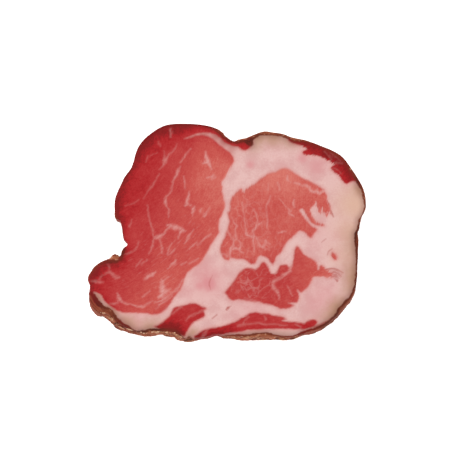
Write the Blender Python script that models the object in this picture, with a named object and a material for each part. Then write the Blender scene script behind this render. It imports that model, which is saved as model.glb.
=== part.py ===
"""One thick-cut slice of coppa, the dry-cured neck of pork, lying on its lower cut face.

The slice is one solid. Its outer wall is the dried crust, which stands out below the knife's
upper cut and is craggy where it dried hardest. Its upper face carries the muscles as shallow
sunken fields, because lean meat shrinks more than fat as it cures. X runs along the slice's
length, Y across it, and Z is up.
"""

import math

import bmesh
import bpy
from mathutils import Vector, noise

MM = 0.001

# Driving sizes of the slice, in millimetres.
THICKNESS = 8.0
WIDEST_HEIGHT = 2.6
FOOT_INSET = 0.35
LEAN_SINK = 0.3
WALL_HEIGHTS = (0.7, 1.6, 2.6, 3.6, 4.6, 5.6, 6.6, 7.4)

# The crust's crags: their length along the wall and up it, the share of a crag that stands
# out beyond the plain wall, and how far one stretch of wall blends into the next.
CRAG_LENGTH = 3.0
CRAG_RISE = 1.9
CRAG_OUTWARD = 0.3
STRETCH_BLEND = 3.5

# The wall seen from above, stretch by stretch and clockwise: how far its widest line stands out
# beyond the upper cut, how high its crags are, and the points of that widest line. All are in
# millimetres, from the middle of the slice.
WALL = (
    ("crown", 0.35, 0.3, [(-38.6, 25.5), (-36.4, 32.8), (-34.4, 36.1), (-30.8, 39.5),
                          (-26.8, 42.1), (-23.6, 43.2), (-14.8, 43.5), (-8.8, 42.9),
                          (-4.8, 41.9)]),
    ("cord dent", 0.6, 0.8, [(-2.6, 40.9), (-1.2, 39.4), (1.0, 37.5), (2.7, 36.7), (4.2, 37.2),
                             (7.0, 37.9)]),
    ("fat shoulder", 0.6, 0.4, [(9.6, 38.9), (14.8, 40.6), (18.6, 40.2), (22.8, 39.5),
                                (25.6, 38.3)]),
    ("dry shoulder", 0.5, 0.3, [(31.6, 36.9), (38.0, 34.5), (43.2, 32.2), (46.6, 29.8),
                                (49.8, 25.4), (52.6, 21.0)]),
    ("right bulge", 0.5, 0.3, [(54.6, 17.0), (55.6, 11.6), (55.2, 8.4), (53.6, 5.4)]),
    ("right step", 0.5, 0.5, [(53.0, 3.2), (52.9, 1.0), (52.2, -0.4), (52.4, -3.0)]),
    ("right flank", 0.6, 0.4, [(52.2, -9.0), (51.9, -15.0), (51.4, -21.0), (50.3, -25.4)]),
    ("lower right", 1.0, 0.6, [(47.6, -29.6), (43.0, -34.8), (38.6, -38.4), (34.0, -40.4),
                               (29.0, -41.7), (25.6, -42.8)]),
    ("underside", 1.4, 0.9, [(19.2, -43.0), (11.2, -43.2), (3.2, -43.0), (-0.4, -42.5)]),
    ("pinch", 0.7, 0.5, [(-3.8, -41.5), (-6.8, -42.2), (-9.6, -42.8)]),
    ("knob", 1.5, 1.0, [(-13.6, -43.4), (-16.8, -43.7), (-19.6, -42.9), (-21.8, -41.7)]),
    ("crusted edge", 1.7, 1.2, [(-24.8, -41.3), (-28.0, -41.2), (-31.2, -41.7), (-36.4, -40.9),
                                (-42.8, -38.6)]),
    ("corner", 2.2, 1.1, [(-44.8, -37.4), (-48.2, -34.4), (-49.6, -33.8)]),
    ("heel", 1.0, 0.6, [(-51.6, -33.4), (-53.0, -32.0), (-54.6, -29.4), (-55.2, -26.4),
                        (-54.8, -21.8)]),
    ("tongue", 0.6, 0.5, [(-55.4, -19.4), (-54.4, -16.2), (-52.0, -13.2), (-48.6, -11.2),
                          (-46.8, -10.4)]),
    ("cord notch", 0.5, 0.6, [(-45.3, -8.9), (-44.1, -9.0), (-42.9, -9.8), (-42.2, -7.8),
                              (-41.3, -6.5), (-39.9, -5.2), (-41.0, -4.1), (-41.8, -2.0),
                              (-42.1, 1.4), (-42.9, 3.7)]),
    ("left flank", 0.6, 0.4, [(-44.5, 4.6), (-45.2, 8.6), (-44.9, 13.6), (-43.0, 18.4),
                              (-41.0, 22.4)]),
)

# The muscles that the knife cut through, clockwise. Where one reaches the crust, its outline
# runs on outside the wall.
MUSCLES = {
    "main muscle": [
        # outside the wall, up the left and over the crown
        (-50.8, -36.6), (-58.0, -30.0), (-58.0, -16.0), (-48.0, -4.0), (-50.0, 14.0),
        (-42.0, 32.0), (-30.0, 46.0), (-8.0, 48.0), (4.0, 42.0), (8.6, 40.4),
        # the cap's ragged end, then back along the seam under it to its tip
        (10.1, 36.6), (8.6, 33.8), (6.4, 33.0), (0.0, 35.1), (-4.0, 38.1), (-9.2, 40.2),
        (-14.8, 39.1), (-17.2, 37.6), (-13.2, 38.2), (-8.0, 38.2), (-3.6, 35.4),
        (1.2, 31.8), (3.0, 29.0),
        # down the long seam on its right
        (-1.2, 21.8), (-2.3, 18.4), (-0.9, 10.4), (-3.6, 3.4), (-3.1, 0.4), (-7.8, -8.0),
        (-11.0, -12.6), (-14.9, -15.2), (-18.3, -22.8), (-24.2, -30.4), (-28.8, -32.4),
        (-34.0, -31.9), (-40.2, -32.1), (-45.2, -29.6), (-49.8, -24.6),
        # round the tip of the fat finger and down the dried heel
        (-51.6, -23.5), (-52.8, -24.2), (-49.0, -30.8), (-49.3, -34.4),
    ],
    "eye muscle": [
        (22.6, 25.7), (26.2, 24.9), (30.0, 22.2), (38.7, 17.4), (39.2, 14.0), (42.6, 7.0),
        (39.8, 6.2), (37.8, 8.3), (34.6, 8.6), (33.6, 7.2), (35.6, 4.3), (38.3, 3.0),
        (34.6, 2.8), (29.4, 9.2), (28.4, 7.4), (31.4, 3.6), (35.8, 1.0), (33.8, -2.2),
        (30.2, 0.7), (27.8, 0.6), (24.0, -2.6), (22.2, -6.8), (18.2, -12.9), (16.2, -10.1),
        (12.6, -9.5), (10.6, -12.6), (6.6, -10.8), (-0.4, -10.9), (-2.4, -7.8), (0.2, 3.4),
        (0.2, 8.6), (1.4, 12.6), (5.2, 16.7), (12.4, 20.4), (17.4, 23.8),
    ],
    "lower muscle": [
        (-0.5, -23.7), (3.0, -19.2), (6.8, -14.6), (10.4, -14.4), (14.8, -11.9),
        (18.2, -16.6), (20.4, -16.4), (21.0, -13.4), (24.2, -13.4), (24.8, -15.8),
        (26.2, -13.6), (26.6, -7.2), (28.0, -5.6), (31.2, -9.6), (35.6, -11.8),
        (42.4, -17.4), (39.4, -18.1), (33.8, -17.6), (32.6, -20.6), (27.8, -24.2),
        (27.6, -27.4), (25.2, -29.4), (21.0, -30.5), (12.8, -27.0), (1.0, -26.9),
    ],
    "strap muscle": [
        (-12.6, -45.6), (-11.0, -41.4), (-8.2, -39.0), (2.4, -35.8), (7.6, -32.4),
        (11.2, -31.2), (22.6, -34.4), (29.4, -35.9), (34.0, -34.8), (35.6, -35.2),
        (33.8, -37.2), (30.0, -38.5), (13.8, -38.1), (6.8, -39.3), (-4.4, -40.6),
        (-9.4, -45.4),
    ],
    "corner muscle": [
        (-29.4, -38.9), (-26.8, -36.4), (-23.4, -34.2), (-22.4, -31.0), (-19.2, -29.2),
        (-13.4, -28.2), (-8.4, -30.0), (-9.2, -33.2), (-13.0, -35.4), (-17.6, -40.7),
        (-21.0, -39.7),
    ],
    "shoulder muscle": [
        (24.2, 40.6), (25.2, 36.5), (30.8, 34.7), (30.8, 32.2), (39.8, 29.2), (42.8, 26.4),
        (46.6, 19.8), (49.4, 20.6), (52.2, 18.6), (58.0, 18.0), (50.0, 36.0),
    ],
}


def clear_scene():
    for thing in list(bpy.data.objects):
        bpy.data.objects.remove(thing)


def new_collection(name):
    made = bpy.data.collections.new(name)
    bpy.context.scene.collection.children.link(made)
    return made


def plain_material(name, colour, roughness):
    material = bpy.data.materials.new(name)
    material.use_nodes = True
    shader = material.node_tree.nodes["Principled BSDF"]
    shader.inputs["Base Color"].default_value = (*colour, 1.0)
    shader.inputs["Roughness"].default_value = roughness
    shader.inputs["Metallic"].default_value = 0.0
    return material


def flat_outline(name, points, low, high, segments, collection):
    """A closed smooth outline through the points, as a filled 2D curve from low to high."""
    curve = bpy.data.curves.new(name, "CURVE")
    curve.dimensions = "2D"
    curve.fill_mode = "BOTH"
    curve.extrude = (high - low) / 2 * MM
    curve.resolution_u = segments
    spline = curve.splines.new("BEZIER")
    spline.bezier_points.add(len(points) - 1)
    spline.use_cyclic_u = True
    for knot, (x, y) in zip(spline.bezier_points, points):
        knot.co = (x * MM, y * MM, 0.0)
        knot.handle_left_type = "AUTO"
        knot.handle_right_type = "AUTO"
    made = bpy.data.objects.new(name, curve)
    made.location.z = (low + high) / 2 * MM
    collection.objects.link(made)
    return made


def as_mesh(outline, material):
    """The curve object as one closed mesh object, with its caps welded on."""
    bpy.context.view_layer.update()
    graph = bpy.context.evaluated_depsgraph_get()
    mesh = bpy.data.meshes.new_from_object(outline.evaluated_get(graph))
    shape = bmesh.new()
    shape.from_mesh(mesh)
    bmesh.ops.remove_doubles(shape, verts=shape.verts, dist=0.01 * MM)
    bmesh.ops.recalc_face_normals(shape, faces=shape.faces)
    shape.to_mesh(mesh)
    shape.free()
    mesh.materials.clear()
    mesh.materials.append(material)
    name = outline.name
    made = bpy.data.objects.new(name, mesh)
    made.matrix_world = outline.matrix_world
    for collection in outline.users_collection:
        collection.objects.link(made)
    bpy.data.objects.remove(outline)
    made.name = name
    return made


def wall_character(place):
    """How far the wall stands out beyond the upper cut, and its crags' height, at this place."""
    rim_sum = 0.0
    crag_sum = 0.0
    weight = 0.0
    for _, rim, crag_height, points in WALL:
        for x, y in points:
            away = math.hypot(place.x / MM - x, place.y / MM - y) / STRETCH_BLEND
            near = math.exp(-away * away)
            rim_sum += near * rim
            crag_sum += near * crag_height
            weight += near
    return rim_sum / weight, crag_sum / weight


def wall_inset(height, rim):
    """How far the plain wall lies inside its widest line at this height."""
    if height > WIDEST_HEIGHT:
        rise = (height - WIDEST_HEIGHT) / (THICKNESS - WIDEST_HEIGHT)
        return rim * rise * rise
    fall = 1 - height / WIDEST_HEIGHT
    return FOOT_INSET * fall * fall


def crag(place, height, crag_height):
    """How far the crust stands out of the plain wall, fading to nothing at both knife cuts."""
    along = Vector((place.x / MM / CRAG_LENGTH, place.y / MM / CRAG_LENGTH, height / CRAG_RISE))
    rough = noise.noise(along) + 0.5 * noise.noise(along * 2.1)
    fade = math.sin(math.pi * height / THICKNESS)
    return crag_height * fade * (rough - 0.5 + CRAG_OUTWARD)


def shape_wall(slab):
    """Cuts the wall into rings and gives it its rim and its crags."""
    shape = bmesh.new()
    shape.from_mesh(slab.data)
    middle = THICKNESS / 2
    for height in WALL_HEIGHTS:
        bmesh.ops.bisect_plane(
            shape,
            geom=shape.verts[:] + shape.edges[:] + shape.faces[:],
            plane_co=(0.0, 0.0, (height - middle) * MM),
            plane_no=(0.0, 0.0, 1.0),
        )
    moves = []
    for vertex in shape.verts:
        outward = Vector((0.0, 0.0, 0.0))
        for face in vertex.link_faces:
            if abs(face.normal.z) < 0.5:
                outward += face.normal
        outward.normalize()
        height = vertex.co.z / MM + middle
        rim, crag_height = wall_character(vertex.co)
        out = crag(vertex.co, height, crag_height) - wall_inset(height, rim)
        moves.append((vertex, outward * out * MM))
    for vertex, move in moves:
        vertex.co += move
    shape.to_mesh(slab.data)
    shape.free()


def colour_wall(slab, crust):
    slab.data.materials.append(crust)
    for face in slab.data.polygons:
        if abs(face.normal.z) < 0.8:
            face.material_index = 1


def make_slab(collection, fat, crust):
    points = [point for *_, stretch in WALL for point in stretch]
    slab = as_mesh(flat_outline("slice", points, 0.0, THICKNESS, 3, collection), fat)
    shape_wall(slab)
    colour_wall(slab, crust)
    return slab


def make_muscle_cutters(collection, lean):
    for name, points in MUSCLES.items():
        floor = THICKNESS - LEAN_SINK
        cutter = as_mesh(flat_outline(name, points, floor, THICKNESS + 1.0, 2, collection), lean)
        cutter.hide_render = True
        cutter.display_type = "WIRE"


def sink_muscles(slab, cutters):
    cut = slab.modifiers.new("sunken muscles", "BOOLEAN")
    cut.operation = "DIFFERENCE"
    cut.operand_type = "COLLECTION"
    cut.collection = cutters
    cut.solver = "EXACT"
    cut.material_mode = "TRANSFER"


def main():
    clear_scene()
    fat = plain_material("cured fat", (0.78, 0.50, 0.46), 0.45)
    lean = plain_material("cured lean", (0.52, 0.07, 0.07), 0.5)
    crust = plain_material("dried crust", (0.16, 0.045, 0.025), 0.7)
    slab = make_slab(new_collection("coppa slice"), fat, crust)
    cutters = new_collection("cutters")
    make_muscle_cutters(cutters, lean)
    sink_muscles(slab, cutters)


main()
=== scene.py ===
"""A slice of coppa, cut thick and laid on a pale table, seen from almost straight above.

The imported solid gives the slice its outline, its wall and its thickness. This script lays a fine
skin over it: the two cut faces with their muscles, fat and marbling, and the dried crust round
the edge with the grains and flakes that cling to it.
"""

import math
import random

import bmesh
import bpy
import numpy as np
from mathutils import Matrix, Vector, noise
from mathutils.bvhtree import BVHTree


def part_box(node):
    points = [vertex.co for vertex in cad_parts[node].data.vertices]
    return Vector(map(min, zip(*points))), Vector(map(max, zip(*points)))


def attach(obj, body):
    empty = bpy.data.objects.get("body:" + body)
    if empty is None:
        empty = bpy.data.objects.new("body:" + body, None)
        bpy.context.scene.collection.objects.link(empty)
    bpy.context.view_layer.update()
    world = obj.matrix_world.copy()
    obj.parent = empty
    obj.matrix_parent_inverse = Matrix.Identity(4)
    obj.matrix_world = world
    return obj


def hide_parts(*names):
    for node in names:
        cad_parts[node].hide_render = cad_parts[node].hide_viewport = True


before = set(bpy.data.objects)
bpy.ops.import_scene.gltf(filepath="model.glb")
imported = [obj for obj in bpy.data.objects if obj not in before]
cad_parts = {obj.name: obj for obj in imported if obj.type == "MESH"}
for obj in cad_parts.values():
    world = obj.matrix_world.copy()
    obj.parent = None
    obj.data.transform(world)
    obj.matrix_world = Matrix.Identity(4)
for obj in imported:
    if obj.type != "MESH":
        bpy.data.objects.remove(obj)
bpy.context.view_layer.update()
MM = 0.001

# The table and the light. The slice lies on a plain white light table, which glows faintly, under
# a wide, soft studio lamp up on the left, with bright walls all round, so that it has almost no
# shadow. The camera hangs over it and looks down from a little in front.

PHOTO_SIDE = 0.1788
LENS = 100.0
SENSOR = 36.0
CAMERA_HEIGHT_ANGLE = math.radians(83.0)
VIEW_MIDDLE = Vector((-0.9, 2.4, 7.0)) * MM
TABLE_SIDE = 3.0
WALL_BRIGHTNESS = 0.74
LAMP_POWER = 4.2
LAMP_SIDE = 0.7
TABLE_GLOW = 0.8
LAMP_PLACE = Vector((-0.45, 0.25, 0.9))


def linear(hex_colour):
    """An sRGB hex colour as linear red, green, blue and alpha."""
    channels = [int(hex_colour[place:place + 2], 16) / 255 for place in (1, 3, 5)]
    return [c / 12.92 if c <= 0.04045 else ((c + 0.055) / 1.055) ** 2.4 for c in channels] + [1.0]


def new_material(name):
    """A new material of this name, its tree, and the shader in it."""
    material = bpy.data.materials.new(name)
    material.use_nodes = True
    return material, material.node_tree, material.node_tree.nodes["Principled BSDF"]


def node(kind, inputs=(), out=0, **settings):
    """One node of this kind in the tree, with its settings, and its inputs in order or by name. An
    input takes a number, a colour or another node's output. It gives back the output asked for."""
    made = tree.nodes.new("ShaderNode" + kind)
    for key, value in settings.items():
        setattr(made, key, value)
    for socket, value in inputs.items() if isinstance(inputs, dict) else enumerate(inputs):
        if isinstance(value, bpy.types.NodeSocket):
            tree.links.new(value, made.inputs[socket])
        else:
            made.inputs[socket].default_value = value
    return made.outputs[out]


def put_in_scene(shape, name):
    """This shape as a mesh object of its own, which stands where the shape says."""
    mesh = bpy.data.meshes.new(name)
    shape.to_mesh(mesh)
    shape.free()
    made = bpy.data.objects.new(name, mesh)
    bpy.context.scene.collection.objects.link(made)
    return made


camera_data = bpy.data.cameras.new("camera")
camera_data.lens = LENS
camera_data.sensor_width = SENSOR
camera_data.clip_end = 10.0
camera = bpy.data.objects.new("camera", camera_data)
distance = PHOTO_SIDE * LENS / SENSOR
away = Vector((0.0, -math.cos(CAMERA_HEIGHT_ANGLE), math.sin(CAMERA_HEIGHT_ANGLE)))
camera.location = VIEW_MIDDLE + away * distance
camera.rotation_euler = (math.pi / 2 - CAMERA_HEIGHT_ANGLE, 0.0, 0.0)
bpy.context.scene.collection.objects.link(camera)
bpy.context.scene.camera = camera
bpy.context.scene.view_settings.view_transform = "Standard"

world = bpy.data.worlds.new("bright_studio_walls")
world.use_nodes = True
world.node_tree.nodes["Background"].inputs["Color"].default_value = (1.0, 1.0, 1.0, 1.0)
world.node_tree.nodes["Background"].inputs["Strength"].default_value = WALL_BRIGHTNESS
bpy.context.scene.world = world

lamp_data = bpy.data.lights.new("soft_lamp", "AREA")
lamp_data.shape = "SQUARE"
lamp_data.size = LAMP_SIDE
lamp_data.energy = LAMP_POWER
lamp = bpy.data.objects.new("soft_lamp", lamp_data)
lamp.location = LAMP_PLACE
lamp.rotation_euler = (-LAMP_PLACE).to_track_quat("-Z", "Y").to_euler()
bpy.context.scene.collection.objects.link(lamp)

shape = bmesh.new()
bmesh.ops.create_grid(shape, x_segments=1, y_segments=1, size=TABLE_SIDE / 2)
table = put_in_scene(shape, "table")
table_paint, tree, shader = new_material("white_acrylic_light_table")
shader.inputs["Base Color"].default_value = linear("#FAF9F7")
shader.inputs["Roughness"].default_value = 0.7
shader.inputs["Emission Color"].default_value = linear("#FFFFFF")
shader.inputs["Emission Strength"].default_value = TABLE_GLOW
shader.inputs["Specular IOR Level"].default_value = 0.2
table.data.materials.append(table_paint)

# The slice's body. The knife left two flat cuts, and between them the wall is the outside of the
# cured muscle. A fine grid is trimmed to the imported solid's outline, extruded to the slice's
# thickness, and its wall is then pressed onto the solid's own wall.

CELL = 0.45
EDGE_MARGIN = 0.2
RING_HEIGHT = 7.6
WALL_CUTS = 14
MERGE_GAP = 0.001
ON_CUT = 0.01

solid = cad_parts["slice"]
lowest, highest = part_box("slice")
thickness = (highest.z - lowest.z) / MM


def joined_solid():
    """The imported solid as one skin, in millimetres."""
    made = bmesh.new()
    made.from_mesh(solid.data)
    bmesh.ops.remove_doubles(made, verts=made.verts, dist=MERGE_GAP * MM)
    bmesh.ops.scale(made, vec=(1 / MM, 1 / MM, 1 / MM), verts=made.verts)
    return made


def outline_at(height):
    """The solid's outline at this height, as one closed run of points, counterclockwise."""
    made = joined_solid()
    everything = made.verts[:] + made.edges[:] + made.faces[:]
    cut = bmesh.ops.bisect_plane(
        made, geom=everything, plane_co=(0, 0, height), plane_no=(0, 0, 1),
        clear_inner=True, clear_outer=True,
    )
    corner = next(item for item in cut["geom_cut"] if isinstance(item, bmesh.types.BMVert))
    first = corner
    points = []
    came_by = None
    while not points or corner is not first:
        points.append((corner.co.x, corner.co.y))
        came_by = next(edge for edge in corner.link_edges if edge is not came_by)
        corner = came_by.other_vert(corner)
    made.free()
    line = np.array(points)
    x, y = line.T
    turn = np.sum(x * np.roll(y, -1) - np.roll(x, -1) * y)
    return line if turn > 0 else line[::-1]


def along(line, spots):
    """For each spot: its distance to the line, its sideways offset (positive to the left), and
    how far along the line, counted in segments, its nearest point is."""
    distance = np.full(len(spots), np.inf)
    offset = np.zeros(len(spots))
    share = np.zeros(len(spots))
    for count, (start, end) in enumerate(zip(line[:-1], line[1:])):
        run = end - start
        length = np.hypot(*run)
        if length < 1e-6:
            continue
        from_start = spots - start
        part = np.clip(from_start @ run / length ** 2, 0, 1)
        gap = np.hypot(*(from_start - part[:, None] * run).T)
        nearer = gap < distance
        distance[nearer] = gap[nearer]
        side = (run[0] * from_start[:, 1] - run[1] * from_start[:, 0]) / length
        offset[nearer] = side[nearer]
        share[nearer] = count + part[nearer]
    return distance, offset, share


def inside(line, spots):
    """Which spots lie within the closed line."""
    within = np.zeros(len(spots), bool)
    x, y = spots.T
    for (x0, y0), (x1, y1) in zip(line[:-1], line[1:]):
        if y0 == y1:
            continue
        crosses = (y0 > y) != (y1 > y)
        within ^= crosses & (x < (x1 - x0) * (y - y0) / (y1 - y0) + x0)
    return within


def depth_inside(line, spots):
    """Each spot's distance from the closed line: positive within it, negative outside."""
    closed = np.vstack([line, line[:1]])
    distance, _, _ = along(closed, spots)
    return np.where(inside(closed, spots), distance, -distance)


outline = outline_at(RING_HEIGHT)
closed_outline = np.vstack([outline, outline[:1]])

shape = bmesh.new()
columns = int((highest.x - lowest.x) / MM / CELL) + 2
rows = int((highest.y - lowest.y) / MM / CELL) + 2
bmesh.ops.create_grid(shape, x_segments=columns, y_segments=rows, size=0.5)
bmesh.ops.scale(shape, vec=(columns * CELL, rows * CELL, 1.0), verts=shape.verts)
spots = np.array([vertex.co.xy for vertex in shape.verts])
keep = depth_inside(outline, spots) > EDGE_MARGIN
outside = [vertex for vertex, kept in zip(shape.verts, keep) if not kept]
bmesh.ops.delete(shape, geom=outside, context="VERTS")
loose = [True]
while loose:
    loose = [
        vertex for vertex in shape.verts
        if not vertex.link_faces or sum(edge.is_boundary for edge in vertex.link_edges) > 2
    ]
    bmesh.ops.delete(shape, geom=loose, context="VERTS")

open_edges = [edge for edge in shape.edges if edge.is_boundary]
border = bmesh.ops.extrude_edge_only(shape, edges=open_edges)
border = [item for item in border["geom"] if isinstance(item, bmesh.types.BMVert)]
spots = np.array([vertex.co.xy for vertex in border])
_, _, share = along(closed_outline, spots)
for vertex, place in zip(border, share):
    count = min(int(place), len(outline) - 1)
    start, end = closed_outline[count], closed_outline[count + 1]
    vertex.co.x, vertex.co.y = start + (end - start) * (place - count)

lower = bmesh.ops.extrude_face_region(
    shape, geom=shape.verts[:] + shape.edges[:] + shape.faces[:], use_keep_orig=True
)
lower = [item for item in lower["geom"] if isinstance(item, bmesh.types.BMVert)]
bmesh.ops.translate(shape, vec=(0.0, 0.0, -thickness), verts=lower)
upright = [
    edge for edge in shape.edges
    if abs(edge.verts[0].co.z - edge.verts[1].co.z) > thickness / 2
]
bmesh.ops.subdivide_edges(shape, edges=upright, cuts=WALL_CUTS)
bmesh.ops.translate(shape, vec=(0.0, 0.0, thickness), verts=shape.verts)
bmesh.ops.recalc_face_normals(shape, faces=shape.faces)
coppa_slice = put_in_scene(shape, "coppa_slice")
slice_mesh = coppa_slice.data

points = np.empty(len(slice_mesh.vertices) * 3)
slice_mesh.vertices.foreach_get("co", points)
points = points.reshape(-1, 3)
spots = points[:, :2].copy()
height = points[:, 2].copy()
on_top = height > thickness - ON_CUT
on_foot = height < ON_CUT
on_wall = ~on_top & ~on_foot
rim = np.maximum(depth_inside(outline, spots), 0.0)

# The crust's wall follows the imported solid. Each point of it looks outwards from just inside the
# edge and takes the place where it meets the solid's wall. Drying left finer crags on top, which
# are roughest along the front and the lower left, where the casing broke into grains.

RAY_START = 1.2
RAY_REACH = 5.0
LOWEST_RAY = 0.08
AT_RIM = 0.02
CRAG_DEPTH = 0.16
CRAG_LEAST = 0.45
CRAG_WAVE = 1.1
CRAG_FLATNESS = 1.6
SMALL_CRAG_SHARE = 0.6
SMALL_CRAG_TIMES = 2.3
ROUGH_PLACES = (
    (-38.0, -38.0, 14.0), (-20.0, -41.0, 12.0), (8.0, -42.0, 16.0), (-47.0, -12.0, 5.0),
    (4.0, 38.0, 4.0), (44.0, -34.0, 8.0),
)

closed_normals = np.roll(outline, -1, axis=0) - np.roll(outline, 1, axis=0)
closed_normals = np.column_stack([closed_normals[:, 1], -closed_normals[:, 0]])
closed_normals /= np.hypot(*closed_normals.T)[:, None]
closed_normals = np.vstack([closed_normals, closed_normals[:1]])


def nearness(spots, places):
    """How near each spot is to any of these places, from 0 to 1. A place is an x, a y and a reach,
    and may end with the most that it counts for."""
    best = np.zeros(len(spots))
    for x, y, reach, *most in places:
        gap = np.hypot(spots[:, 0] - x, spots[:, 1] - y) / reach
        best = np.maximum(best, np.exp(-gap * gap) * (most[0] if most else 1.0))
    return best


solid_skin = joined_solid()
solid_tree = BVHTree.FromBMesh(solid_skin)
solid_skin.free()
at_edge = np.flatnonzero((rim < AT_RIM) | on_wall)
_, _, share = along(closed_outline, spots[at_edge])
for index, place, roughness in zip(at_edge, share, nearness(spots[at_edge], ROUGH_PLACES)):
    count = min(int(place), len(outline) - 1)
    part = place - count
    normal = closed_normals[count] * (1 - part) + closed_normals[count + 1] * part
    outward = Vector((normal[0], normal[1], 0.0)).normalized()
    level = min(max(height[index], LOWEST_RAY), RING_HEIGHT)
    start = Vector((spots[index][0], spots[index][1], level)) - outward * RAY_START
    hit = solid_tree.ray_cast(start, outward, RAY_REACH)[0]
    at = hit if hit is not None else start + outward * RAY_START
    if on_wall[index]:
        wave = Vector((at.x, at.y, height[index] * CRAG_FLATNESS)) / CRAG_WAVE
        crag = noise.noise(wave) + SMALL_CRAG_SHARE * noise.noise(wave * SMALL_CRAG_TIMES)
        at = at + outward * crag * CRAG_DEPTH * (CRAG_LEAST + roughness)
    points[index, :2] = at.x, at.y

# The muscles. The knife cut straight through the lean, so each muscle shows as a red field with
# the curing fat round it. Their outlines were read off the photograph and are in millimetres from
# the middle of the slice. Where a muscle reaches the crust, its outline runs on past the wall.

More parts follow.
